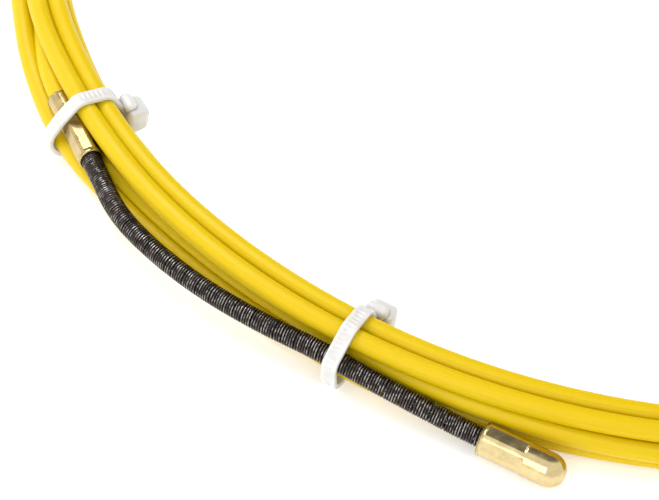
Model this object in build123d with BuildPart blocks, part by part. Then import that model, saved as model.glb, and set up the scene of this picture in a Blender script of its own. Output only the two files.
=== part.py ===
"""Tied coil of round nylon fish tape with a sprung leader, in millimetres.

The frame has its origin on the floor at the middle of the coil, +Z up.
Places on the coil are given as an angle about Z, a distance outward from the
middle line of the bundle of strands, and a height above the bundle's underside.
"""
from build123d import *
import math
import os

os.makedirs("parts", exist_ok=True)

# ---- driving dimensions -------------------------------------------------------
TAPE_D = 4.0             # round nylon tape
COIL_R = 130.0           # ring radius to the middle of the bundle
FIT_GAP = 0.03           # radial play where a strand, rope or spring enters metal
LIE_GAP = 0.15           # play between the bundle and what lies in or around it

STRAP_W = 3.0            # cable tie strap
STRAP_T = 1.0
SLACK_R = 3.0            # radius of a leader tie's loose lower outer corner
HEAD_W = 6.0             # cable tie head: along the coil, round the strap, and high
HEAD_L = 6.2
HEAD_H = 4.5
TIE_TURN = 180.0         # which way a head faces, degrees from outward
HEAD_SHIFT = 1.2         # how far a head sits askew, along the coil

FERRULE_WALL = 0.5       # brass sleeve crimped between tape and spring
FERRULE_L = 18.0
FERRULE_WEB = 3.0        # solid metal between its two blind bores
CRIMP_SINK = 0.4         # taken off the diameter by the flats of a hexagonal crimp
CRIMP_L = 9.5

SPRING_D = 4.0           # close wound leader spring
SPRING_WIRE = 0.6
CORE_D = 1.5             # wire rope inside the spring

NOSE_WALL = 1.25         # bullet nose
NOSE_L = 16.5
NOSE_BORE = 9.0          # how far the spring enters it
NOSE_DOME = 3.6          # length of the rounded tip
NOSE_CRIMP_L = 8.0

EYE_STEM_D = 3.0         # rear pulling eye, its stem enters the rear sleeve
EYE_STEM_GAP = 1.5       # left free past the stem's end in the sleeve's bore
EYE_D = 9.0
EYE_HOLE_D = 5.0
EYE_T = 3.2

FLEX_GAP = 1.4           # free length left open where the leader bends
DRAWN_D = 4.0            # tape diameter that the places on the coil are drawn for

# ---- derived sizes --------------------------------------------------------------
R = TAPE_D / 2
ROW = TAPE_D * math.sqrt(3) / 2              # height between nested rows of strands
BASE = STRAP_T + LIE_GAP                     # the coil stands on its ties
FERRULE_D = max(TAPE_D, SPRING_D) + 2 * FERRULE_WALL
CRIMP_FLAT = FERRULE_D - CRIMP_SINK          # across the flats
NOSE_D = SPRING_D + 2 * NOSE_WALL
NOSE_FLAT = NOSE_D - CRIMP_SINK
SPRING_IN = (FERRULE_L - FERRULE_WEB) / 2    # how far tape and spring enter the ferrule
EYE_STEM_L = SPRING_IN - EYE_STEM_GAP
LOW, MID, HIGH = R, R + ROW, R + 2 * ROW     # heights of the three rows

# outline of the bundle as circles, (outward, height, radius): six strands, or four
# and the room in which the leader pushes the fifth outward
INNER_MID = (-TAPE_D, MID, R)
INNER_LOW = (-R, LOW, R)
INNER_TOP = (-R, HIGH, R)
OUTER_TOP = (R, HIGH, R)
HELD = [INNER_MID, INNER_LOW, INNER_TOP, OUTER_TOP]
RING = HELD + [(R, LOW, R), (TAPE_D, MID, R)]
WIDE = HELD + [(1.32 * TAPE_D, SLACK_R, SLACK_R)]
SNUG = HELD + [(1.10 * TAPE_D, SLACK_R, SLACK_R)]

# ---- angles round the coil --------------------------------------------------------
STRETCHES = [(178.0, 205.0, WIDE), (205.0, 219.5, SNUG), (219.5, 538.0, RING)]
LEADER_TIES = (184.0, 217.0)
FAR_TIES = (152.0, 75.0, 0.0, 290.0)


def at(angle, outward, height):
    """A point beside the bundle, which moves with the size of its strands."""
    a = math.radians(angle)
    r = COIL_R + outward * TAPE_D / DRAWN_D
    return Vector(r * math.cos(a), r * math.sin(a), BASE + height * TAPE_D / DRAWN_D)


def across(angle):
    """Section plane of the coil: local x points outward, local y up."""
    a = math.radians(angle)
    out = (math.cos(a), math.sin(a), 0)
    return Plane(origin=at(angle, 0, 0), x_dir=out, z_dir=(math.sin(a), -math.cos(a), 0))


def tangent_path(points):
    """Straight runs joined by tangent arcs, each as large as its two runs allow."""
    radii = []
    for a, b, c in zip(points, points[1:], points[2:]):
        before, after = b - a, c - b
        half_turn = math.radians(before.get_angle(after)) / 2
        radii.append(0.45 * min(before.length, after.length) / math.tan(half_turn))
    print("  arc radii", [round(r, 1) for r in radii])
    return FilletPolyline(*points, radius=radii)


def make_tube(points, outer, inner=0.0):
    """A round tube or rod along a route, and its length."""
    start = Plane(origin=points[0], z_dir=points[1] - points[0])
    with BuildPart() as tube:
        with BuildLine() as route:
            tangent_path(points)
        with BuildSketch(start):
            Circle(outer / 2)
            if inner:
                Circle(inner / 2, mode=Mode.SUBTRACT)
        sweep()
    length = sum(edge.length for edge in route.edges())
    section = math.pi * (outer ** 2 - inner ** 2) / 4
    print(f"  length {length:.2f}, volume over section x length {tube.part.volume / section / length:.4f}")
    return tube


# ---- routes, chosen by hand --------------------------------------------------------
# leader: from the tail of its ferrule to the tip of the nose
FERRULE_TAIL = at(180.9, 3.7, 5.5)
FERRULE_AXIS = (at(188.8, 5.3, 5.9) - FERRULE_TAIL).normalized()
FERRULE_FRONT = FERRULE_TAIL + FERRULE_AXIS * FERRULE_L
NOSE_BACK = at(229.6, 7.6, 2.9)
NOSE_AXIS = (at(236.3, 11.4, 2.7) - NOSE_BACK).normalized()
SPRING_START = FERRULE_FRONT - FERRULE_AXIS * SPRING_IN
FLEX_POINT = at(222.5, 6.4, 4.85)
REAR_ROUTE = [
    SPRING_START,
    FERRULE_FRONT + FERRULE_AXIS * 4.0,
    at(194.6, 8.6, 5.9),
    at(199.4, 8.9, 5.8),
    at(204.8, 8.3, 5.7),
    at(210.3, 7.1, 5.8),
    at(215.7, 6.0, 6.1),
]
FLEX_DIR = (at(226.0, 6.6, 3.8) - at(218.7, 6.0, 5.6)).normalized()
REAR_ROUTE.append(FLEX_POINT - FLEX_DIR * 7.0)
REAR_ROUTE.append(FLEX_POINT - FLEX_DIR * FLEX_GAP / 2)
FRONT_ROUTE = [
    FLEX_POINT + FLEX_DIR * FLEX_GAP / 2,
    FLEX_POINT + FLEX_DIR * 6.0,
    NOSE_BACK - NOSE_AXIS * 3.0,
    NOSE_BACK + NOSE_AXIS * NOSE_BORE,
]

# tape that rises from the bundle into the leader's ferrule
TAPE_IN = FERRULE_TAIL + FERRULE_AXIS * SPRING_IN
LEADER_END_ROUTE = [
    at(166.0, 0.0, 5.46),
    at(170.5, 0.7, 5.46),
    at(174.6, 2.4, 5.48),
    FERRULE_TAIL - FERRULE_AXIS * 5.0,
    TAPE_IN,
]

# rear end of the tape: it springs outward past its last tie
EYE_END_ROUTE = [
    at(155.5, 4.0, 5.46),
    at(151.4, 4.0, 5.46),
    at(147.2, 5.3, 5.46),
    at(143.6, 7.3, 5.36),
    at(136.6, 12.0, 5.06),
]
EYE_AXIS = (EYE_END_ROUTE[-1] - EYE_END_ROUTE[-2]).normalized()
EYE_SLEEVE_TAIL = EYE_END_ROUTE[-1] - EYE_AXIS * SPRING_IN
EYE_SLEEVE_FRONT = EYE_SLEEVE_TAIL + EYE_AXIS * FERRULE_L

# ---- the coil of tape ------------------------------------------------------------
with BuildPart() as leader_room:
    with BuildLine():
        tangent_path(REAR_ROUTE[:-1] + FRONT_ROUTE[1:])
    with BuildSketch(Plane(origin=SPRING_START, z_dir=FERRULE_AXIS)):
        Circle(SPRING_D / 2 + LIE_GAP)
    sweep()
    with BuildSketch(Plane(origin=FERRULE_TAIL - FERRULE_AXIS * LIE_GAP, z_dir=FERRULE_AXIS)):
        Circle(FERRULE_D / 2 + LIE_GAP)
    extrude(amount=FERRULE_L + 2 * LIE_GAP)
    with BuildSketch(Plane(origin=NOSE_BACK - NOSE_AXIS * LIE_GAP, z_dir=NOSE_AXIS)):
        Circle(NOSE_D / 2 + LIE_GAP)
    extrude(amount=NOSE_L)

with BuildPart() as tape_coil:
    for start, end, outline in STRETCHES:
        with BuildSketch(across(start)):
            for outward, height, radius in outline:
                with Locations((outward, height)):
                    Circle(radius)
            make_hull()
        revolve(axis=Axis.Z, revolution_arc=end - start)
    add(leader_room.part, mode=Mode.SUBTRACT)
    for end_route in (LEADER_END_ROUTE, EYE_END_ROUTE):
        with BuildLine():
            tangent_path(end_route)
        with BuildSketch(Plane(origin=end_route[0], z_dir=end_route[1] - end_route[0])):
            Circle(R + LIE_GAP)
        sweep(mode=Mode.SUBTRACT)
tape_coil.part.label = "tape_coil"
export_step(tape_coil.part, "parts/tape_coil.step")

# ---- tape ends -------------------------------------------------------------------
tape_leader_end = make_tube(LEADER_END_ROUTE, TAPE_D)
tape_leader_end.part.label = "tape_leader_end"
export_step(tape_leader_end.part, "parts/tape_leader_end.step")

tape_eye_end = make_tube(EYE_END_ROUTE, TAPE_D)
tape_eye_end.part.label = "tape_eye_end"
export_step(tape_eye_end.part, "parts/tape_eye_end.step")


# ---- crimped brass sleeves ---------------------------------------------------------
def make_sleeve(tail, axis, front_bore_d, front_hole_d):
    """A sleeve crimped to six flats at its front, with the tape in its tail bore."""
    tail_plane = Plane(origin=tail, z_dir=axis)
    front_plane = Plane(origin=tail + axis * FERRULE_L, z_dir=-axis)
    with BuildPart() as sleeve:
        with BuildSketch(tail_plane):
            Circle(FERRULE_D / 2)
        extrude(amount=FERRULE_L)
        ends = sleeve.edges().filter_by(GeomType.CIRCLE)
        chamfer(ends, 0.25)
        with BuildSketch(front_plane.offset(0.8)):
            Circle(FERRULE_D)
            RegularPolygon(CRIMP_FLAT / 2, 6, major_radius=False, mode=Mode.SUBTRACT)
        extrude(amount=CRIMP_L, mode=Mode.SUBTRACT)
        with BuildSketch(tail_plane):
            Circle(R + FIT_GAP)
        extrude(amount=SPRING_IN, mode=Mode.SUBTRACT)
        with BuildSketch(front_plane):
            Circle(front_bore_d / 2 + FIT_GAP)
        extrude(amount=SPRING_IN, mode=Mode.SUBTRACT)
        if front_hole_d:
            with BuildSketch(front_plane):
                Circle(front_hole_d / 2 + FIT_GAP)
            extrude(amount=SPRING_IN + FERRULE_WEB / 2, mode=Mode.SUBTRACT)
    return sleeve


leader_ferrule = make_sleeve(FERRULE_TAIL, FERRULE_AXIS, SPRING_D, CORE_D)
leader_ferrule.part.label = "leader_ferrule"
export_step(leader_ferrule.part, "parts/leader_ferrule.step")

eye_ferrule = make_sleeve(EYE_SLEEVE_TAIL, EYE_AXIS, EYE_STEM_D, 0)
eye_ferrule.part.label = "eye_ferrule"
export_step(eye_ferrule.part, "parts/eye_ferrule.step")

# ---- leader spring and the wire rope inside it, in two lengths that bend ---------------
SPRING_HOLE = SPRING_D - 2 * SPRING_WIRE
CORE_IN = FERRULE_WEB / 2                    # how far the rope goes past the spring's ends

spring_rear = make_tube(REAR_ROUTE, SPRING_D, SPRING_HOLE)
spring_rear.part.label = "spring_rear"
export_step(spring_rear.part, "parts/spring_rear.step")

spring_front = make_tube(FRONT_ROUTE, SPRING_D, SPRING_HOLE)
spring_front.part.label = "spring_front"
export_step(spring_front.part, "parts/spring_front.step")

core_rear = make_tube([SPRING_START - FERRULE_AXIS * CORE_IN] + REAR_ROUTE[1:], CORE_D)
core_rear.part.label = "core_rear"
export_step(core_rear.part, "parts/core_rear.step")

core_front = make_tube(FRONT_ROUTE[:-1] + [FRONT_ROUTE[-1] + NOSE_AXIS * CORE_IN], CORE_D)
core_front.part.label = "core_front"
export_step(core_front.part, "parts/core_front.step")

# ---- bullet nose -------------------------------------------------------------------
nose_side = Plane(origin=NOSE_BACK, x_dir=NOSE_AXIS, z_dir=NOSE_AXIS.cross(Vector(0, 0, 1)))
nose_back_plane = Plane(origin=NOSE_BACK, z_dir=NOSE_AXIS)
with BuildPart() as bullet_nose:
    with BuildSketch(nose_side):
        with BuildLine():
            Polyline((0, 0), (0, NOSE_D / 2 - 0.3), (0.3, NOSE_D / 2), (NOSE_L - NOSE_DOME, NOSE_D / 2))
            EllipticalCenterArc((NOSE_L - NOSE_DOME, 0), NOSE_DOME, NOSE_D / 2, 0, arc_size=90)
            Line((NOSE_L, 0), (0, 0))
        make_face()
    revolve(axis=Axis(NOSE_BACK, NOSE_AXIS))
    with BuildSketch(nose_back_plane.offset(0.6)):
        Circle(NOSE_D)
        RegularPolygon(NOSE_FLAT / 2, 6, major_radius=False, mode=Mode.SUBTRACT)
    extrude(amount=NOSE_CRIMP_L, mode=Mode.SUBTRACT)
    with BuildSketch(nose_back_plane):
        Circle(SPRING_D / 2 + FIT_GAP)
    extrude(amount=NOSE_BORE, mode=Mode.SUBTRACT)
    with BuildSketch(nose_back_plane):
        Circle(CORE_D / 2 + FIT_GAP)
    extrude(amount=NOSE_BORE + CORE_IN, mode=Mode.SUBTRACT)
bullet_nose.part.label = "bullet_nose"
export_step(bullet_nose.part, "parts/bullet_nose.step")

# ---- rear pulling eye ----------------------------------------------------------------
eye_centre = EYE_SLEEVE_FRONT + EYE_AXIS * (EYE_D / 2 + 0.6)
with BuildPart() as pulling_eye:
    with BuildSketch(Plane(origin=eye_centre - Vector(0, 0, EYE_T / 2))):
        Circle(EYE_D / 2)
    extrude(amount=EYE_T)
    fillet(pulling_eye.edges(), 0.6)
    with BuildSketch(Plane(origin=EYE_SLEEVE_FRONT - EYE_AXIS * EYE_STEM_L, z_dir=EYE_AXIS)):
        Circle(EYE_STEM_D / 2)
    extrude(amount=EYE_STEM_L + 2.0)
    with BuildSketch(Plane(origin=eye_centre - Vector(0, 0, EYE_T))):
        Circle(EYE_HOLE_D / 2)
    extrude(amount=2 * EYE_T, mode=Mode.SUBTRACT)
pulling_eye.part.label = "pulling_eye"
export_step(pulling_eye.part, "parts/pulling_eye.step")


# ---- cable ties --------------------------------------------------------------------
def make_tie(angle, strands):
    """A strap closed round the bundle, with its head on the inner upper side."""
    with BuildPart() as tie:
        with BuildSketch(across(angle)) as loop:
            for outward, height, radius in strands:
                with Locations((outward, height)):
                    Circle(radius)
            make_hull()
            offset(amount=LIE_GAP + STRAP_T, kind=Kind.ARC)
            with BuildSketch(mode=Mode.PRIVATE) as bundle:
                for outward, height, radius in strands:
                    with Locations((outward, height)):
                        Circle(radius)
                make_hull()
                offset(amount=LIE_GAP, kind=Kind.ARC)
            add(bundle.sketch, mode=Mode.SUBTRACT)
        extrude(amount=STRAP_W / 2, both=True)
        turn = math.radians(TIE_TURN)
        reach = R + LIE_GAP + 0.25 * STRAP_T + HEAD_H / 2
        with BuildSketch(across(angle).offset(-HEAD_SHIFT)):
            seat = Location((INNER_MID[0] + reach * math.cos(turn), INNER_MID[1] + reach * math.sin(turn)))
            with Locations(seat * Location((0, 0, 0), (0, 0, TIE_TURN))):
                Rectangle(HEAD_H, HEAD_L)
        extrude(amount=HEAD_W / 2, both=True)
    return tie


def lying_piece(angle, tail, axis, radius):
    """Where a straight piece crosses the coil's section at an angle."""
    plane = across(angle)
    run = (plane.origin - tail).dot(plane.z_dir) / axis.dot(plane.z_dir)
    point = plane.to_local_coords(tail + axis * run)
    return (point.X, point.Y, radius)


ferrule_circle = lying_piece(LEADER_TIES[0], FERRULE_TAIL, FERRULE_AXIS, FERRULE_D / 2)
ferrule_tie = make_tie(LEADER_TIES[0], WIDE + [ferrule_circle])
ferrule_tie.part.label = "ferrule_tie"
export_step(ferrule_tie.part, "parts/ferrule_tie.step")

held_run = REAR_ROUTE[7] - REAR_ROUTE[6]
spring_circle = lying_piece(LEADER_TIES[1], REAR_ROUTE[6], held_run, SPRING_D / 2 + LIE_GAP)
spring_tie = make_tie(LEADER_TIES[1], SNUG + [spring_circle])
spring_tie.part.label = "spring_tie"
export_step(spring_tie.part, "parts/spring_tie.step")

with BuildPart() as coil_ties:
    for angle in FAR_TIES:
        far_tie = make_tie(angle, RING)
        add(far_tie.part)
coil_ties.part.label = "coil_ties"
export_step(coil_ties.part, "parts/coil_ties.step")
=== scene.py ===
"""Looks of a tied coil of yellow nylon fish tape with a sprung leader.

The sizes listed first and the numbers given to at() are millimetres; meshes are in metres.
Places on the coil are an angle about Z in degrees, a distance outward from the
middle line of the bundle of strands, and a height above the bundle's underside.
"""

import math
import random

import bmesh
import bpy
import numpy as np
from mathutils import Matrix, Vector


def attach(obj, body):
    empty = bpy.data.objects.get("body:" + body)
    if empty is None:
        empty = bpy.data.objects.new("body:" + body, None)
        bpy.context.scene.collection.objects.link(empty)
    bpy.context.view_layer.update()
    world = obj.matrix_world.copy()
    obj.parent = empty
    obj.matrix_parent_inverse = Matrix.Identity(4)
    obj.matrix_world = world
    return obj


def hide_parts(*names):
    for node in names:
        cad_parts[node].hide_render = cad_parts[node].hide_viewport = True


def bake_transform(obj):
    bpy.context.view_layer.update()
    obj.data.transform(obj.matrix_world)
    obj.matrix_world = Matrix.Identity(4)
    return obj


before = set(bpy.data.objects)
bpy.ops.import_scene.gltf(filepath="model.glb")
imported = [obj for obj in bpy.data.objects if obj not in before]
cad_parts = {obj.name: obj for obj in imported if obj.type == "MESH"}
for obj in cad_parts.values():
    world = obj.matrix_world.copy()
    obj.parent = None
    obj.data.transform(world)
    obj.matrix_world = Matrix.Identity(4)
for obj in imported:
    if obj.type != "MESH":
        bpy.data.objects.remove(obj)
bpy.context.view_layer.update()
MM = 0.001
rng = random.Random(7)

# ---- sizes of the object, in millimetres -----------------------------------------
TAPE_D = 4.0
TAPE_R = TAPE_D / 2
COIL_R = 130.0
BASE = 1.15
STRAP_W, STRAP_T, LIE_GAP = 3.0, 1.0, 0.15
RIB_PITCH, RIB_DEPTH = 0.95, 0.13
SLACK_R = 3.0
WIDE, SNUG = 1.32 * TAPE_D, 1.10 * TAPE_D   # where a leader tie's loose side has its middle
HEAD_W, HEAD_L, HEAD_H, TIE_TURN = 6.0, 6.2, 4.5, 180.0
HEAD_SHIFT = 1.2
BORE_GAP = 0.03
FERRULE_D, FERRULE_L, FERRULE_IN = 5.0, 18.0, 7.5
FERRULE_FLAT, FERRULE_CRIMP = 4.6, (0.8, 10.3)
SPRING_D, WIRE_D, COIL_PITCH = 4.0, 0.52, 0.54
CORE_D = 1.5
NOSE_D, NOSE_L, NOSE_BORE, NOSE_DOME = 6.5, 16.5, 9.0, 3.6
NOSE_FLAT, NOSE_CRIMP = 6.1, (0.6, 8.6)
EYE_D, EYE_HOLE_D, EYE_T, EYE_STEM_D, EYE_STEM_L = 9.0, 5.0, 3.2, 3.0, 6.0

MID = TAPE_R + TAPE_D * math.sqrt(3) / 2
HIGH = TAPE_R + TAPE_D * math.sqrt(3)
LEADER_TIES = (184.0, 217.0)
FAR_TIES = (152.0, 75.0, 0.0, 290.0)


def at(angle, outward, height):
    """A point beside the bundle, in metres."""
    a = math.radians(angle)
    r = COIL_R + outward
    return Vector((r * math.cos(a), r * math.sin(a), BASE + height)) * MM


# ---- routes, the same as the solids follow -------------------------------------------
FERRULE_TAIL = at(180.9, 3.7, 5.5)
FERRULE_AXIS = (at(188.8, 5.3, 5.9) - FERRULE_TAIL).normalized()
FERRULE_FRONT = FERRULE_TAIL + FERRULE_AXIS * FERRULE_L * MM
NOSE_BACK = at(229.6, 7.6, 2.9)
NOSE_AXIS = (at(236.3, 11.4, 2.7) - NOSE_BACK).normalized()
FLEX_POINT = at(222.5, 6.4, 4.85)
FLEX_DIR = (at(226.0, 6.6, 3.8) - at(218.7, 6.0, 5.6)).normalized()
LEADER_ROUTE = [
    FERRULE_FRONT - FERRULE_AXIS * FERRULE_IN * MM,
    FERRULE_FRONT + FERRULE_AXIS * 4.0 * MM,
    at(194.6, 8.6, 5.9),
    at(199.4, 8.9, 5.8),
    at(204.8, 8.3, 5.7),
    at(210.3, 7.1, 5.8),
    at(215.7, 6.0, 6.1),
    FLEX_POINT - FLEX_DIR * 7.0 * MM,
    FLEX_POINT + FLEX_DIR * 6.0 * MM,
    NOSE_BACK - NOSE_AXIS * 3.0 * MM,
    NOSE_BACK + NOSE_AXIS * NOSE_BORE * MM,
]
LEADER_END_ROUTE = [
    FERRULE_TAIL + FERRULE_AXIS * FERRULE_IN * MM,
    FERRULE_TAIL - FERRULE_AXIS * 5.0 * MM,
    at(174.6, 2.4, 5.48),
    at(170.5, 0.7, 5.46),
    at(166.0, 0.0, 5.46),
]
EYE_END_ROUTE = [
    at(155.5, 4.0, MID),
    at(151.4, 4.0, MID),
    at(147.2, 5.3, MID),
    at(143.6, 7.3, MID - 0.1),
    at(136.6, 12.0, MID - 0.4),
]
EYE_AXIS = (EYE_END_ROUTE[-1] - EYE_END_ROUTE[-2]).normalized()
EYE_SLEEVE_TAIL = EYE_END_ROUTE[-1] - EYE_AXIS * FERRULE_IN * MM
EYE_SLEEVE_FRONT = EYE_SLEEVE_TAIL + EYE_AXIS * FERRULE_L * MM


# ---- camera --------------------------------------------------------------------------
CAMERA_AZIMUTH, CAMERA_ELEVATION, CAMERA_ROLL = -30.0, 44.59, 9.84
CAMERA_TARGET = Vector((-0.0958, -0.0503, BASE * MM))
CAMERA_DISTANCE = 0.5739
CAMERA_LENS_MM = 163.9


def make_camera():
    a, e = math.radians(CAMERA_AZIMUTH), math.radians(CAMERA_ELEVATION)
    back = Vector((math.sin(a) * math.cos(e), -math.cos(a) * math.cos(e), math.sin(e)))
    data = bpy.data.cameras.new("camera")
    data.lens = CAMERA_LENS_MM
    data.clip_start = 0.01
    camera = bpy.data.objects.new("camera", data)
    camera.location = CAMERA_TARGET + back * CAMERA_DISTANCE
    camera.rotation_euler = back.to_track_quat("Z", "Y").to_euler()
    camera.rotation_euler.rotate_axis("Z", math.radians(CAMERA_ROLL))
    bpy.context.collection.objects.link(camera)
    bpy.context.scene.camera = camera


make_camera()


# ---- small mesh tools -------------------------------------------------------------------
def spline_line(points, resolution):
    """Points along the smooth order 3 NURBS line that has these control points."""
    data = bpy.data.curves.new("route", "CURVE")
    data.dimensions = "3D"
    data.resolution_u = resolution
    spline = data.splines.new("NURBS")
    spline.points.add(len(points) - 1)
    for place, point in zip(spline.points, points):
        place.co = (*point, 1.0)
    spline.order_u = 3
    spline.use_endpoint_u = True
    curve = bpy.data.objects.new("route", data)
    mesh = bpy.data.meshes.new_from_object(curve)
    line = np.empty(len(mesh.vertices) * 3)
    mesh.vertices.foreach_get("co", line)
    bpy.data.objects.remove(curve)
    bpy.data.meshes.remove(mesh)
    return line.reshape(-1, 3)


def spaced(line, step):
    """The line again, with evenly spaced points, and each point's distance along it."""
    ahead = np.r_[0, np.cumsum(np.linalg.norm(np.diff(line, axis=0), axis=1))]
    count = max(2, int(round(ahead[-1] / step)) + 1)
    along = np.linspace(0, ahead[-1], count)
    return np.stack([np.interp(along, ahead, line[:, i]) for i in range(3)], 1), along


def frames_along(line):
    """Tangents and two side directions that don't twist along a line."""
    tangent = np.gradient(line, axis=0)
    tangent /= np.linalg.norm(tangent, axis=1)[:, None]
    side = np.empty_like(tangent)
    first = np.cross(tangent[0], (0, 0, 1.0))
    side[0] = first / np.linalg.norm(first)
    for i in range(1, len(line)):
        across = side[i - 1] - tangent[i] * side[i - 1].dot(tangent[i])
        side[i] = across / np.linalg.norm(across)
    return tangent, side, np.cross(tangent, side)


def grid_mesh(name, rings, closed=False, lay=None):
    """A smooth mesh through rings of points; open ends are capped. lay is a vector per point."""
    count, sides = rings.shape[:2]
    index = np.arange(count * sides).reshape(count, sides)
    ahead = np.roll(index, -1, axis=0) if closed else index[1:]
    here = index if closed else index[:-1]
    quads = np.stack([here, np.roll(here, -1, axis=1), np.roll(ahead, -1, axis=1), ahead], -1)
    faces = [tuple(q) for q in quads.reshape(-1, 4).tolist()]
    if not closed:
        faces += [tuple(index[0][::-1].tolist()), tuple(index[-1].tolist())]
    mesh = bpy.data.meshes.new(name)
    mesh.from_pydata(rings.reshape(-1, 3).tolist(), [], faces)
    if lay is not None:
        layer = mesh.attributes.new("lay", "FLOAT_VECTOR", "POINT")
        layer.data.foreach_set("vector", np.ascontiguousarray(lay, dtype=np.float32).ravel())
    mesh.shade_smooth()
    mesh.update()
    return mesh


def add_piece(name, mesh, material, body, slot, *nodes):
    """Puts a mesh into the scene as a piece that rides on a body."""
    piece = bpy.data.objects.new(name, mesh)
    bpy.context.collection.objects.link(piece)
    mesh.materials.append(material)
    if body:
        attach(piece, body)
    if nodes:
        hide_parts(*nodes)
    return piece


def face_outward(mesh):
    """Turns a closed mesh's faces so that they all point outward."""
    work = bmesh.new()
    work.from_mesh(mesh)
    bmesh.ops.recalc_face_normals(work, faces=work.faces)
    work.to_mesh(mesh)
    work.free()


def join_meshes(name, meshes):
    """One mesh from several."""
    work = bmesh.new()
    for mesh in meshes:
        work.from_mesh(mesh)
    joined = bpy.data.meshes.new(name)
    work.to_mesh(joined)
    work.free()
    return joined


# ---- materials ---------------------------------------------------------------------------
class Nodes:
    """Short ways to add and link shader nodes in one material."""

    def __init__(self, name):
        self.material = bpy.data.materials.new(name)
        self.material.use_nodes = True
        self.tree = self.material.node_tree
        self.shader = self.tree.nodes["Principled BSDF"]

    def add(self, kind, values=(), **settings):
        node = self.tree.nodes.new(kind)
        for key, value in settings.items():
            setattr(node, key, value)
        for key, value in dict(values).items():
            if isinstance(value, bpy.types.NodeSocket):
                self.tree.links.new(value, node.inputs[key])
            else:
                node.inputs[key].default_value = value
        return node

    def set(self, **values):
        for key, value in values.items():
            socket = self.shader.inputs[key.replace("_", " ")]
            if isinstance(value, bpy.types.NodeSocket):
                self.tree.links.new(value, socket)
            else:
                socket.default_value = value

    def ramp(self, value, low, high, a, b):
        """Maps value from low..high to a..b, limited at both ends."""
        node = self.add("ShaderNodeMapRange", {0: value, 1: low, 2: high, 3: a, 4: b})
        return node.outputs[0]

    def noise(self, vector, scale, detail=2.0, rough=0.5):
        values = {"Scale": scale, "Detail": detail, "Roughness": rough}
        if vector is not None:
            values["Vector"] = vector
        return self.add("ShaderNodeTexNoise", values).outputs[0]

    def mix(self, factor, a, b):
        node = self.add("ShaderNodeMix", data_type="RGBA")
        for socket, value in ((node.inputs[0], factor), (node.inputs[6], a), (node.inputs[7], b)):
            if isinstance(value, bpy.types.NodeSocket):
                self.tree.links.new(value, socket)
            else:
                socket.default_value = value
        return node.outputs[2]

    def scaled(self, vector, factors):
        node = self.add("ShaderNodeVectorMath", {0: vector, 1: factors}, operation="MULTIPLY")
        return node.outputs[0]

    def bump(self, height, strength, distance):
        values = {"Height": height, "Strength": strength, "Distance": distance}
        self.set(Normal=self.add("ShaderNodeBump", values).outputs[0])

    def position(self):
        return self.add("ShaderNodeTexCoord").outputs["Object"]


def tape_material():
    """Extruded yellow nylon: a little light comes through it, with faint lines along it."""
    m = Nodes("yellow_nylon")
    lay = m.add("ShaderNodeAttribute", attribute_name="lay").outputs["Vector"]
    streaks = m.noise(m.scaled(lay, (1.0, 1.0, 0.9)), 3.2, 3.0, 0.6)
    clouds = m.noise(m.scaled(lay, (0.4, 0.4, 14.0)), 1.0, 2.0)
    tone = m.mix(m.ramp(streaks, 0.35, 0.65, 0.0, 1.0), (0.585, 0.408, 0.000, 1), (0.630, 0.455, 0.001, 1))
    tone = m.mix(m.ramp(clouds, 0.4, 0.75, 0.0, 0.35), tone, (0.63, 0.432, 0.001, 1))
    m.set(Base_Color=tone, Roughness=m.ramp(streaks, 0.3, 0.7, 0.36, 0.46), IOR=1.53)
    m.set(Subsurface_Weight=0.4, Subsurface_Scale=0.002, Subsurface_Radius=(1.0, 0.45, 0.03))
    m.set(Specular_IOR_Level=0.2)
    m.bump(streaks, 0.12, 0.00012)
    return m.material


def brass_material(name, tint=(0.54, 0.43, 0.22, 1)):
    """Turned and polished brass with fine tool lines, handling haze and darker specks."""
    m = Nodes(name)
    place = m.position()
    haze = m.noise(place, 420.0, 4.0, 0.6)
    specks = m.noise(place, 1900.0, 2.0, 0.5)
    paler = tuple(1.25 * c for c in tint[:3]) + (1,)
    tone = m.mix(m.ramp(haze, 0.35, 0.7, 0.0, 1.0), tint, paler)
    tone = m.mix(m.ramp(specks, 0.66, 0.78, 0.0, 0.55), tone, (0.42, 0.27, 0.10, 1))
    m.set(Base_Color=tone, Metallic=1.0, Roughness=m.ramp(haze, 0.3, 0.75, 0.13, 0.28))
    m.bump(m.noise(place, 900.0, 3.0, 0.6), 0.10, 0.00010)
    return m.material


def spring_material():
    """Blackened spring wire: brown black, with brighter crowns that are partly rubbed wear and partly
    painted glints in noise patches.
    """
    m = Nodes("black_spring_wire")
    place = m.position()
    patches = m.noise(place, 260.0, 3.0, 0.6)
    grain = m.noise(place, 2400.0, 2.0, 0.5)
    lay = m.add("ShaderNodeAttribute", attribute_name="lay").outputs["Vector"]
    crown = m.add("ShaderNodeSeparateXYZ", {0: lay}).outputs["X"]
    tone = m.mix(m.ramp(patches, 0.35, 0.7, 0.0, 1.0), (0.018, 0.014, 0.012, 1), (0.045, 0.035, 0.029, 1))
    # Brighter crowns: partly rubbed wear, partly painted glints.
    crown_wear_and_glint = m.mix(m.ramp(crown, 0.84, 0.99, 0.0, 0.6), tone, (0.55, 0.52, 0.49, 1))
    # Noise patches that set where the painted glints show on the crowns.
    glint_patches = m.noise(place, 950.0, 2.0, 0.5)
    tone = m.mix(m.ramp(glint_patches, 0.46, 0.60, 0.08, 1.0), tone, crown_wear_and_glint)
    m.set(Base_Color=tone, Metallic=0.85, Roughness=m.ramp(grain, 0.3, 0.7, 0.14, 0.28))
    return m.material


def rope_material():
    m = Nodes("bright_rope_wire")
    grime = m.noise(m.position(), 700.0, 3.0, 0.6)
    tone = m.mix(m.ramp(grime, 0.4, 0.7, 0.0, 1.0), (0.50, 0.50, 0.52, 1), (0.20, 0.19, 0.18, 1))
    m.set(Base_Color=tone, Metallic=1.0, Roughness=m.ramp(grime, 0.3, 0.7, 0.25, 0.45))
    return m.material


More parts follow.
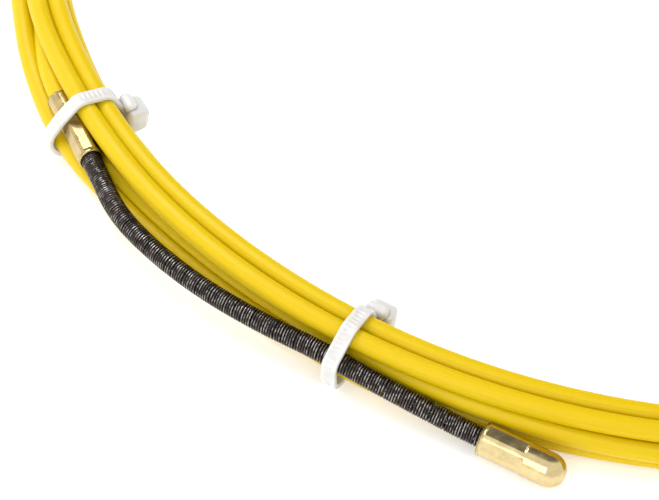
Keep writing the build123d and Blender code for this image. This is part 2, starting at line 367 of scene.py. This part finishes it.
def tie_material():
    """Natural nylon: milky, glowing where light comes through it."""
    m = Nodes("natural_nylon")
    place = m.position()
    cloud = m.noise(place, 330.0, 3.0, 0.55)
    tone = m.mix(m.ramp(cloud, 0.35, 0.7, 0.0, 1.0), (0.69, 0.68, 0.655, 1), (0.77, 0.76, 0.74, 1))
    m.set(Base_Color=tone, Roughness=m.ramp(cloud, 0.3, 0.7, 0.34, 0.46), IOR=1.53)
    m.set(Subsurface_Weight=0.6, Subsurface_Scale=0.002, Subsurface_Radius=(1.0, 0.95, 0.85))
    m.set(Transmission_Weight=0.22)
    m.bump(m.noise(place, 1500.0, 2.0), 0.08, 0.0001)
    return m.material


YELLOW = tape_material()
BRASS = brass_material("polished_brass")
# The same brass in a darker tint for the leader ferrule: the darker tint is painted shade.
BRASS_PAINTED_DARKER = brass_material("brass_with_painted_shade", (0.43, 0.33, 0.155, 1))
SPRING = spring_material()
ROPE = rope_material()
TIE = tie_material()


# ---- the tape ----------------------------------------------------------------------------
# Places of the strands round the bundle, as ring angles: 0 is outward, 90 is up.
OUTER_MID, OUTER_TOP, INNER_TOP, INNER_MID, INNER_LOW, OUTER_LOW = (60.0 * k for k in range(6))
CENTRE = None
# Each turn's place past the camera's left edge and the place round from it that it
# twists to before the right edge. The tape runs back from the leader to the eye.
TURNS = [
    (CENTRE, INNER_LOW),
    (INNER_LOW, INNER_MID),
    (INNER_MID, INNER_TOP),
    (INNER_TOP, OUTER_TOP),
    (OUTER_TOP, OUTER_MID),
    (OUTER_LOW, OUTER_LOW),
]
LEFT_EDGE, RIGHT_EDGE = 172.0, 242.0     # where the seen stretch ends
TWIST_FROM, TWIST_TO = 138.0, -66.0      # stretch in which the bundle twists
SHIFT_FROM, SHIFT_TO = 134.0, 114.0      # where the last turn takes the ended one's place
FILL_FROM, FILL_TO = 110.0, 88.0         # where the middle strand takes the last turn's
STEP = 4.0                               # degrees from one control point to the next
# Strands that the leader pushes about, as (angle, outward, height)
MIDDLE_STRAND = [
    (242, 4.0, MID), (236, 3.9, 5.5), (230, 3.2, 5.75), (226, 2.7, 5.6), (222, 2.2, 5.4),
    (217, 0.9, MID), (208, 0.9, MID), (200, 1.1, MID), (195, 1.2, 4.9), (190, 1.4, 4.0),
    (187, 1.6, 2.8), (184, 1.7, 2.0), (178, 1.6, 2.0), (172, 2.0, 2.0),
]
PUSHED_STRAND = [
    (242, 2.0, 2.0), (236, 2.1, 2.0), (229, 2.5, 2.0), (225, 3.0, 2.0), (222, 3.3, 2.0),
    (219.5, 3.6, 2.0), (217, 3.6, 2.1), (213, 2.5, 2.0), (208, 2.3, 2.0), (202, 2.6, 2.0),
    (197, 3.3, 2.0), (193, 4.1, 2.0), (190, 4.8, 2.0), (187, 5.5, 2.1), (184, 5.8, 2.0),
    (181, 5.6, 2.0), (178, 5.3, 2.3), (174.5, 5.1, 3.5), (170.5, 4.6, 4.6), (167, 4.2, 5.2),
    (163, 4.0, MID),
]
STEERED = {4: MIDDLE_STRAND, 5: PUSHED_STRAND}     # the turns that follow them where they are seen
# How far strands on top of the leader and beside it give way at its ferrule
GIVE = {OUTER_TOP: (-0.4, 0.2), INNER_TOP: (-0.25, 0.0), INNER_LOW: (-0.3, 0.0)}
GIVE_AT, GIVE_FADE = 182.5, 7.0
LEADER_END_START, EYE_END_START = 162.0, 159.0


def smooth_step(value):
    value = min(1.0, max(0.0, value))
    return value * value * (3 - 2 * value)


def stations(table, angle):
    """Outward place and height at an angle, between the rows of a table."""
    rows = sorted(table)
    angles = [row[0] for row in rows]
    return tuple(np.interp(angle, angles, [row[i] for row in rows]) for i in (1, 2))


def ring_place(ring_angle, twist):
    """A place round the bundle, whose middle rises a little as the bundle twists."""
    lean = math.radians(30.0 - 60.0 * twist)
    middle = TAPE_R + TAPE_D * math.cos(lean)
    if ring_angle is CENTRE:
        return 0.0, middle
    a = math.radians(ring_angle)
    return TAPE_D * math.cos(a), middle + TAPE_D * math.sin(a)


def strand_place(turn, angle):
    """Where the tape lies across the bundle; angle falls from the left edge, round the back."""
    first, last = TURNS[turn]
    if angle <= RIGHT_EDGE - 360:
        seen = angle + 360
        if turn in STEERED:
            return stations(STEERED[turn], seen)
        outward, height = ring_place(last, 0.0)
        give = GIVE.get(last, (0.0, 0.0))
        near = smooth_step(1.6 - abs(seen - GIVE_AT) / GIVE_FADE)
        return outward + give[0] * near, height + give[1] * near
    twist = smooth_step((TWIST_FROM - angle) / (TWIST_FROM - TWIST_TO))
    if turn == 5:
        shift = smooth_step((SHIFT_FROM - angle) / (SHIFT_FROM - SHIFT_TO))
        return ring_place(OUTER_LOW + 60.0 * (shift - twist), twist)
    if first is CENTRE:
        filled = smooth_step((FILL_FROM - angle) / (FILL_FROM - FILL_TO))
        middle = ring_place(CENTRE, twist)
        outer = ring_place(OUTER_LOW - 60.0 * twist, twist)
        return tuple(m + (o - m) * filled for m, o in zip(middle, outer))
    return ring_place(first - 60.0 * twist, twist)


def wander(turn, angle):
    """A small uneven drift of each turn, the same each run."""
    phase = 2.4 * turn
    a = math.radians(angle)
    outward = 0.10 * math.sin(5 * a + phase) + 0.06 * math.sin(11 * a + 1.7 * phase)
    height = 0.05 * math.sin(7 * a + 2.1 * phase)
    return outward, height


def tape_points():
    """Control points from the leader's ferrule, round every turn, to the rear sleeve."""
    points = list(LEADER_END_ROUTE)
    reach = 1 / math.cos(math.radians(STEP / 2))
    turn, angle = 0, LEADER_END_START
    while turn < len(TURNS) or angle > EYE_END_START:
        if turn < len(TURNS):
            outward, height = strand_place(turn, angle)
        else:
            outward, height = stations(PUSHED_STRAND, angle)
        drift = wander(turn, angle)
        point = at(angle, outward + drift[0], max(TAPE_R, height + drift[1]))
        points.append(Vector((point.x * reach, point.y * reach, point.z)))
        angle -= STEP
        if angle < LEFT_EDGE - 360:
            turn, angle = turn + 1, angle + 360
    return points + EYE_END_ROUTE


tape_line = spline_line(tape_points(), 6)


def make_tape():
    sides = 28
    tangent, side, up = frames_along(tape_line)
    ahead = np.r_[0, np.cumsum(np.linalg.norm(np.diff(tape_line, axis=0), axis=1))]
    turn = np.linspace(0, 2 * math.pi, sides, endpoint=False)
    around = np.cos(turn)[None, :, None] * side[:, None] + np.sin(turn)[None, :, None] * up[:, None]
    rings = tape_line[:, None] + around * TAPE_R * MM
    lay = np.empty(rings.shape)
    lay[..., 0] = np.cos(turn) * 2.2
    lay[..., 1] = np.sin(turn) * 2.2
    lay[..., 2] = ahead[:, None]
    mesh = grid_mesh("tape", rings, lay=lay)
    face_outward(mesh)
    nodes = ("tape_coil", "tape_leader_end", "tape_eye_end")
    piece = add_piece("tape", mesh, YELLOW, "coil", "tape", *nodes)
    return piece, ahead[-1]


tape, tape_length = make_tape()
print("tape length", tape_length)


# ---- brass parts -----------------------------------------------------------------------
def turned_mesh(name, tail, axis, profile, crimp=None, start_turn=0.0, sides=96):
    """A turned piece; profile is (distance along the axis, radius) in millimetres from its tail.

    crimp is (from, to, across flats), where a hexagonal press has squeezed it.
    """
    axis = np.array(axis)
    side = np.cross(axis, (0, 0, 1.0))
    side /= np.linalg.norm(side)
    up = np.cross(side, axis)
    turn = np.linspace(0, 2 * math.pi, sides, endpoint=False)
    direction = np.cos(turn)[:, None] * side + np.sin(turn)[:, None] * up
    rings = []
    for along, radius in profile:
        radii = np.full(sides, radius)
        if crimp:
            run_out = 0.35
            depth = min(along - crimp[0], crimp[1] - along) / run_out
            press = smooth_step(depth + 0.5)
            flat_angle = (turn - math.radians(start_turn) + math.pi / 6) % (math.pi / 3) - math.pi / 6
            flat = crimp[2] / 2 / np.cos(flat_angle)
            radii = radii + (np.minimum(radii, flat) - radii) * press
        rings.append(np.array(tail) + axis * along * MM + direction * radii[:, None] * MM)
    mesh = grid_mesh(name, np.array(rings))
    face_outward(mesh)
    return mesh


def even(start, end, step):
    count = max(2, int(round(abs(end - start) / step)) + 1)
    return np.linspace(start, end, count)


def sleeve_profile(front_bore):
    """Outline of a sleeve, from inside its tail bore round the outside into its front bore."""
    soft = 0.28
    radius, bore = FERRULE_D / 2, TAPE_R + BORE_GAP
    corner = np.radians(np.linspace(0, 90, 5))
    profile = [(FERRULE_IN, 0.01), (FERRULE_IN, bore), (soft, bore), (0.0, bore + 0.12)]
    profile += [(soft * (1 - math.sin(c)), radius - soft * math.cos(c)) for c in corner[::-1]]
    profile += [(x, radius) for x in even(0.4, FERRULE_L - 0.4, 0.16)]
    profile += [(FERRULE_L - soft + soft * math.sin(c), radius - soft + soft * math.cos(c)) for c in corner]
    profile += [(FERRULE_L, front_bore + 0.10), (FERRULE_L - 0.15, front_bore)]
    return profile + [(FERRULE_L - FERRULE_IN, front_bore), (FERRULE_L - FERRULE_IN, 0.01)]


def make_sleeve(name, tail, axis, front_bore, start_turn, material):
    crimp = (FERRULE_L - FERRULE_CRIMP[1], FERRULE_L - FERRULE_CRIMP[0], FERRULE_FLAT)
    mesh = turned_mesh(name, tail, axis, sleeve_profile(front_bore), crimp, start_turn)
    return add_piece(name + "_turned", mesh, material, "coil", "brass", name)


# The leader ferrule takes the darker brass, whose darker tint is painted shade.
make_sleeve("leader_ferrule", FERRULE_TAIL, FERRULE_AXIS, SPRING_D / 2 + BORE_GAP, 20.0, BRASS_PAINTED_DARKER)
eye_ferrule = make_sleeve(
    "eye_ferrule", EYE_SLEEVE_TAIL, EYE_AXIS, EYE_STEM_D / 2 + BORE_GAP, 0.0, BRASS)


def make_nose():
    radius = NOSE_D / 2
    rim = np.radians(np.linspace(0, 90, 5))
    soft = 0.35
    bore = SPRING_D / 2 + BORE_GAP
    profile = [(NOSE_BORE, 0.01), (NOSE_BORE, bore), (0.2, bore), (0.0, bore + 0.15)]
    profile += [(soft - soft * math.sin(c), radius - soft + soft * (1 - math.cos(c))) for c in rim[::-1]]
    dome_from = NOSE_L - NOSE_DOME
    profile += [(x, radius) for x in even(0.5, dome_from, 0.16)]
    for c in np.radians(np.linspace(4, 89, 22)):
        profile.append((dome_from + NOSE_DOME * math.sin(c), radius * math.cos(c) ** 0.86))
    profile.append((NOSE_L, 0.01))
    mesh = turned_mesh("bullet_nose", NOSE_BACK, NOSE_AXIS, profile, (*NOSE_CRIMP, NOSE_FLAT), 24.0, 120)
    add_piece("bullet_nose_turned", mesh, BRASS, "leader_tip", "brass", "bullet_nose")


make_nose()


def make_eye():
    """The rear eye: a flat ring with rounded edges on a stem that enters the sleeve."""
    neck = 0.6
    centre = np.array(EYE_SLEEVE_FRONT + EYE_AXIS * (EYE_D / 2 + neck) * MM)
    middle = (EYE_D + EYE_HOLE_D) / 4
    half_w = (EYE_D - EYE_HOLE_D) / 4
    half_t = EYE_T / 2
    turn = np.linspace(0, 2 * math.pi, 72, endpoint=False)
    section = np.linspace(0, 2 * math.pi, 28, endpoint=False)
    squareness = 0.45
    wide = np.sign(np.cos(section)) * np.abs(np.cos(section)) ** squareness * half_w
    high = np.sign(np.sin(section)) * np.abs(np.sin(section)) ** squareness * half_t
    radial = np.stack([np.cos(turn), np.sin(turn), 0 * turn], 1)
    rings = centre + ((middle + wide)[None, :, None] * radial[:, None]
                      + high[None, :, None] * np.array((0, 0, 1.0))) * MM
    ring = grid_mesh("eye_ring", rings, closed=True)
    face_outward(ring)
    stem_r = EYE_STEM_D / 2
    length = EYE_STEM_L + neck + 0.55
    profile = [(0.0, 0.01), (0.0, stem_r - 0.2), (0.2, stem_r)]
    profile += [(x, stem_r) for x in even(0.4, length, 0.2)] + [(length, 0.01)]
    stem_tail = EYE_SLEEVE_FRONT - EYE_AXIS * EYE_STEM_L * MM
    stem = turned_mesh("eye_stem", stem_tail, EYE_AXIS, profile, sides=48)
    mesh = join_meshes("pulling_eye", [ring, stem])
    mesh.shade_smooth()
    return add_piece("pulling_eye_forged", mesh, BRASS, "coil", "brass", "pulling_eye")


pulling_eye = make_eye()


# ---- leader spring and rope --------------------------------------------------------------
leader_line, leader_along = spaced(spline_line(LEADER_ROUTE, 24), 0.1 * MM)
leader_frames = frames_along(leader_line)


def on_leader(along, turn, reach):
    """Points that wind round the leader's line: distance along it, angle and radius, in metres."""
    index = along / leader_along[-1] * (len(leader_line) - 1)
    knots = np.arange(len(leader_line))
    centre, side, up = (
        np.stack([np.interp(index, knots, array[:, i]) for i in range(3)], 1)
        for array in (leader_line, leader_frames[1], leader_frames[2])
    )
    return centre + (np.cos(turn)[:, None] * side + np.sin(turn)[:, None] * up) * reach[:, None]


def wound_wire(name, along, turn, reach, wire_r, sides):
    """A wire of round section whose middle line winds round the leader's line."""
    line = on_leader(along, turn, reach)
    core = on_leader(along, turn, 0 * along)
    outward = line - core
    outward /= np.linalg.norm(outward, axis=1)[:, None]
    tangent = np.gradient(line, axis=0)
    tangent /= np.linalg.norm(tangent, axis=1)[:, None]
    across = np.cross(tangent, outward)
    section = np.linspace(0, 2 * math.pi, sides, endpoint=False)
    rings = line[:, None] + (np.cos(section)[None, :, None] * outward[:, None]
                             + np.sin(section)[None, :, None] * across[:, None]) * wire_r
    lay = np.zeros(rings.shape)
    lay[..., 0] = np.cos(section)
    mesh = grid_mesh(name, rings, lay=lay)
    face_outward(mesh)
    return mesh


def make_spring():
    """A close wound spring; some neighbouring turns stand slightly apart, as used ones do."""
    length = leader_along[-1]
    turns = int(length / (COIL_PITCH * MM))
    per_turn = 16
    gaps = 1.0 + 0.04 * np.array([rng.random() for _ in range(turns)])
    turn = 0
    while turn < turns:
        gaps[turn] += 0.12 + 0.22 * rng.random()
        turn += rng.choice((3, 4, 5, 5, 6))
    edges = np.r_[0, np.cumsum(gaps)] / gaps.sum() * length
    turn = np.linspace(0, turns, turns * per_turn + 1)
    along = np.interp(turn, np.arange(turns + 1), edges)
    swell = np.interp(turn, np.arange(turns + 1), [0.012 * rng.random() for _ in range(turns + 1)])
    reach = (SPRING_D / 2 - WIRE_D / 2 - swell) * MM
    mesh = wound_wire("spring", along, turn * 2 * math.pi, reach, WIRE_D / 2 * MM, 10)
    piece = add_piece("leader_spring", mesh, SPRING, None, "spring_steel", "spring_rear", "spring_front")
    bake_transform(piece)


def make_rope():
    """The wire rope inside the spring: six outer wires laid round one."""
    length = leader_along[-1]
    wire_r = CORE_D / 6
    count = int(length / (0.5 * MM))
    along = np.linspace(0, length, count)
    lay_length = 11 * MM
    lay_turns = along / lay_length * 2 * math.pi
    wires = [wound_wire("wire", along, 0 * along, 0 * along + 1e-6, wire_r * MM, 8)]
    for k in range(6):
        wires.append(wound_wire("wire", along, lay_turns + k * math.pi / 3,
                                2 * wire_r * MM + 0 * along, wire_r * MM, 8))
    mesh = join_meshes("rope", wires)
    mesh.shade_smooth()
    piece = add_piece("leader_rope", mesh, ROPE, None, "wire_rope", "core_rear", "core_front")
    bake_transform(piece)


make_spring()
make_rope()


# ---- cable ties ----------------------------------------------------------------------------
def hull_outline(circles, grow, step):
    """Evenly spaced points, counterclockwise, on the hull of circles (outward, height, radius)."""
    turn = np.linspace(0, 2 * math.pi, 180, endpoint=False)
    cloud = sorted({
        (round(x + (r + grow) * math.cos(t), 5), round(y + (r + grow) * math.sin(t), 5))
        for x, y, r in circles for t in turn
    })

    def half(points):
        chain = []
        for p in points:
            while len(chain) > 1 and (
                (chain[-1][0] - chain[-2][0]) * (p[1] - chain[-2][1])
                - (chain[-1][1] - chain[-2][1]) * (p[0] - chain[-2][0])
            ) <= 0:
                chain.pop()
            chain.append(p)
        return chain[:-1]

    loop = np.array(half(cloud) + half(cloud[::-1]))
    loop = np.vstack([loop, loop[:1]])
    ahead = np.r_[0, np.cumsum(np.linalg.norm(np.diff(loop, axis=0), axis=1))]
    along = np.linspace(0, ahead[-1], int(ahead[-1] / step), endpoint=False)
    return np.stack([np.interp(along, ahead, loop[:, i]) for i in (0, 1)], 1), along


def section_point(angle, outward, height, across):
    """A point at a place across the bundle, moved along the coil; arrays in millimetres."""
    a = math.radians(angle)
    r = COIL_R + outward
    x = r * math.cos(a) - across * math.sin(a)
    y = r * math.sin(a) + across * math.cos(a)
    return np.stack([x, y, BASE + height + 0 * across], -1) * MM


def strap_mesh(angle, circles):
    """The strap: rounded edges, and a ladder of fine ribs along its middle."""
    loop, along = hull_outline(circles, LIE_GAP + STRAP_T / 2, 0.14)
    ahead = np.roll(loop, -1, axis=0) - np.roll(loop, 1, axis=0)
    ahead /= np.linalg.norm(ahead, axis=1)[:, None]
    normal = np.stack([ahead[:, 1], -ahead[:, 0]], 1)
    for _ in range(6):
        normal = (normal + np.roll(normal, 1, axis=0) + np.roll(normal, -1, axis=0)) / 3
    normal /= np.linalg.norm(normal, axis=1)[:, None]
    soft = 0.22
    outline = []
    for cx, cy, start in ((1, 1, 0), (-1, 1, 90), (-1, -1, 180), (1, -1, 270)):
        for t in np.radians(np.linspace(start, start + 90, 4)):
            outline.append((cx * (STRAP_W / 2 - soft) + soft * math.cos(t),
                            cy * (STRAP_T / 2 - soft) + soft * math.sin(t)))
        if cy == 1 and cx == 1:
            outline += [(0.78, STRAP_T / 2), (0.62, STRAP_T / 2), (0.0, STRAP_T / 2),
                        (-0.62, STRAP_T / 2), (-0.78, STRAP_T / 2)]
    outline = np.array(outline)
    rib = 0.5 + 0.5 * np.cos(along / RIB_PITCH * 2 * math.pi)
    recess = RIB_DEPTH * np.clip(rib * 2.2 - 0.6, 0, 1)
    in_ladder = (np.abs(outline[:, 0]) < 0.7) & (outline[:, 1] > STRAP_T / 2 - 0.01)
    lift = outline[None, :, 1] - recess[:, None] * in_ladder[None, :]
    place = loop[:, None, :] + normal[:, None, :] * lift[..., None]
    across = np.broadcast_to(outline[None, :, 0], lift.shape)
    rings = section_point(angle, place[..., 0], place[..., 1], across)
    mesh = grid_mesh("strap", rings, closed=True)
    face_outward(mesh)
    return mesh


def soft_box(angle, centre, turn, size, soft, taper=1.0, shift=0.0):
    """A box with soft edges; size is out from the strap, round it, and along the coil."""
    work = bmesh.new()
    bmesh.ops.create_cube(work, size=1.0)
    for v in work.verts:
        narrow = taper if v.co.x > 0 else 1.0
        v.co = Vector((v.co.x * size[0], v.co.y * size[1] * narrow, v.co.z * size[2] * narrow))
    bmesh.ops.bevel(work, geom=work.edges[:], offset=soft, segments=4, profile=0.5, affect="EDGES")
    c, s = math.cos(math.radians(turn)), math.sin(math.radians(turn))
    for v in work.verts:
        outward = centre[0] + v.co.x * c - v.co.y * s
        height = centre[1] + v.co.x * s + v.co.y * c
        v.co = section_point(angle, outward, height, np.array(v.co.z + shift)).tolist()
    mesh = bpy.data.meshes.new("soft_box")
    work.to_mesh(mesh)
    work.free()
    mesh.shade_smooth()
    face_outward(mesh)
    return mesh


def head_meshes(angle):
    """The head, lips beside its slot, the strap's cut end in the slot, and the neck to the strap."""
    turn = math.radians(TIE_TURN)
    out = np.array((math.cos(turn), math.sin(turn)))
    around = np.array((-out[1], out[0]))
    seat = np.array((-TAPE_D, MID)) + out * (TAPE_R + LIE_GAP + 0.25 * STRAP_T)
    middle = seat + out * HEAD_H / 2
    meshes = [soft_box(angle, middle, TIE_TURN, (HEAD_H, HEAD_L, HEAD_W), 1.1, 0.84, HEAD_SHIFT)]
    rim = seat + out * (HEAD_H - 0.12)
    for side in (-1, 1):
        lip = rim + around * 1.15 * side
        meshes.append(soft_box(angle, lip, TIE_TURN, (0.5, 0.5, 3.6), 0.15, 1.0, HEAD_SHIFT))
    tail = seat + out * (HEAD_H - 0.25)
    stub = (1.2, STRAP_T, STRAP_W - 0.2)
    meshes.append(soft_box(angle, tail, TIE_TURN, stub, 0.12, 1.0, HEAD_SHIFT))
    neck = seat + out * 0.9 - around * (HEAD_L / 2 - 0.3)
    meshes.append(soft_box(angle, neck, TIE_TURN, (2.6, 2.8, 4.8), 1.1, 0.9, HEAD_SHIFT * 0.7))
    return meshes


def ring_circles():
    """The six strands round the middle one."""
    turns = [math.radians(60 * k) for k in range(6)]
    return [(TAPE_D * math.cos(t), MID + TAPE_D * math.sin(t), TAPE_R) for t in turns]


def loose_circles(slack_outward):
    """The strands that a leader tie holds, and the round of its loose side."""
    places = [(-TAPE_D, MID), (-TAPE_R, TAPE_R), (TAPE_R, HIGH), (-TAPE_R, HIGH)]
    return [(x, y, TAPE_R) for x, y in places] + [(slack_outward, SLACK_R, SLACK_R)]


def crossing(angle, start, direction, radius):
    """Where a straight piece crosses the bundle's section at an angle."""
    a = math.radians(angle)
    normal = Vector((-math.sin(a), math.cos(a), 0))
    point = start - direction * (start.dot(normal) / direction.dot(normal))
    return (math.hypot(point.x, point.y) / MM - COIL_R, point.z / MM - BASE, radius)


def make_tie(name, angles, circles, node):
    meshes = []
    for angle in angles:
        meshes += [strap_mesh(angle, circles)] + head_meshes(angle)
    mesh = join_meshes(name, meshes)
    mesh.shade_smooth()
    add_piece(name, mesh, TIE, "coil", "tie_nylon", node)


ferrule_circle = crossing(LEADER_TIES[0], FERRULE_TAIL, FERRULE_AXIS, FERRULE_D / 2 + LIE_GAP)
held_run = (LEADER_ROUTE[7] - LEADER_ROUTE[6]).normalized()
spring_circle = crossing(LEADER_TIES[1], LEADER_ROUTE[6], held_run, SPRING_D / 2 + LIE_GAP)
make_tie("tie_over_ferrule", LEADER_TIES[:1], loose_circles(WIDE) + [ferrule_circle], "ferrule_tie")
make_tie("tie_over_spring", LEADER_TIES[1:], loose_circles(SNUG) + [spring_circle], "spring_tie")
# Four ties in one piece, as in their CAD node. Its box spans the ring, and the measure of the
# tape's room takes the ring as seen only because of that.
make_tie("ties_round_coil", FAR_TIES, ring_circles(), "coil_ties")


# ---- floor and light ----------------------------------------------------------------------
# The studio's dark side: level tops of shiny pieces mirror it toward the camera
DARK_PATCH = (0.36, 0.62, 0.70)
CLOSE_UP = (-0.08, -0.05, 0)


def make_floor():
    bpy.ops.mesh.primitive_plane_add(size=6.0, location=(0, 0, 0))
    floor = bpy.context.object
    floor.name = "floor"
    m = Nodes("pale_floor")
    paper = m.noise(m.position(), 90.0, 3.0, 0.6)
    m.set(Base_Color=m.mix(paper, (0.93, 0.93, 0.93, 1), (0.95, 0.95, 0.95, 1)), Roughness=0.9)
    m.set(Emission_Color=(1, 1, 1, 1), Emission_Strength=0.3)
    floor.data.materials.append(m.material)


def make_light(name, location, aim, size, power):
    data = bpy.data.lights.new(name, "AREA")
    data.shape = "RECTANGLE"
    data.size, data.size_y = size
    data.energy = power
    light = bpy.data.objects.new(name, data)
    light.location = location
    light.rotation_euler = (Vector(location) - Vector(aim)).to_track_quat("Z", "Y").to_euler()
    bpy.context.collection.objects.link(light)


def make_world():
    world = bpy.data.worlds.new("studio")
    world.use_nodes = True
    tree = world.node_tree
    place = tree.nodes.new("ShaderNodeTexCoord")
    toward = tree.nodes.new("ShaderNodeVectorMath")
    toward.operation = "DOT_PRODUCT"
    toward.inputs[1].default_value = DARK_PATCH
    shade = tree.nodes.new("ShaderNodeValToRGB")
    tree.links.new(place.outputs["Generated"], toward.inputs[0])
    tree.links.new(toward.outputs["Value"], shade.inputs[0])
    stops = ((0.0, 1.25), (0.72, 1.25), (0.83, 0.28), (1.0, 0.20))
    ramp = shade.color_ramp
    while len(ramp.elements) < len(stops):
        ramp.elements.new(0.5)
    for element, (where, bright) in zip(ramp.elements, stops):
        element.position = where
        element.color = (bright, bright, bright, 1)
    tree.links.new(shade.outputs[0], tree.nodes["Background"].inputs[0])
    bpy.context.scene.world = world


make_floor()
make_world()
make_light("key", (-0.30, 0.45, 0.80), CLOSE_UP, (0.6, 0.30), 5.5)
make_light("fill", (-0.60, -0.50, 0.45), CLOSE_UP, (0.12, 0.5), 1.0)
bpy.context.scene.view_settings.view_transform = "Standard"
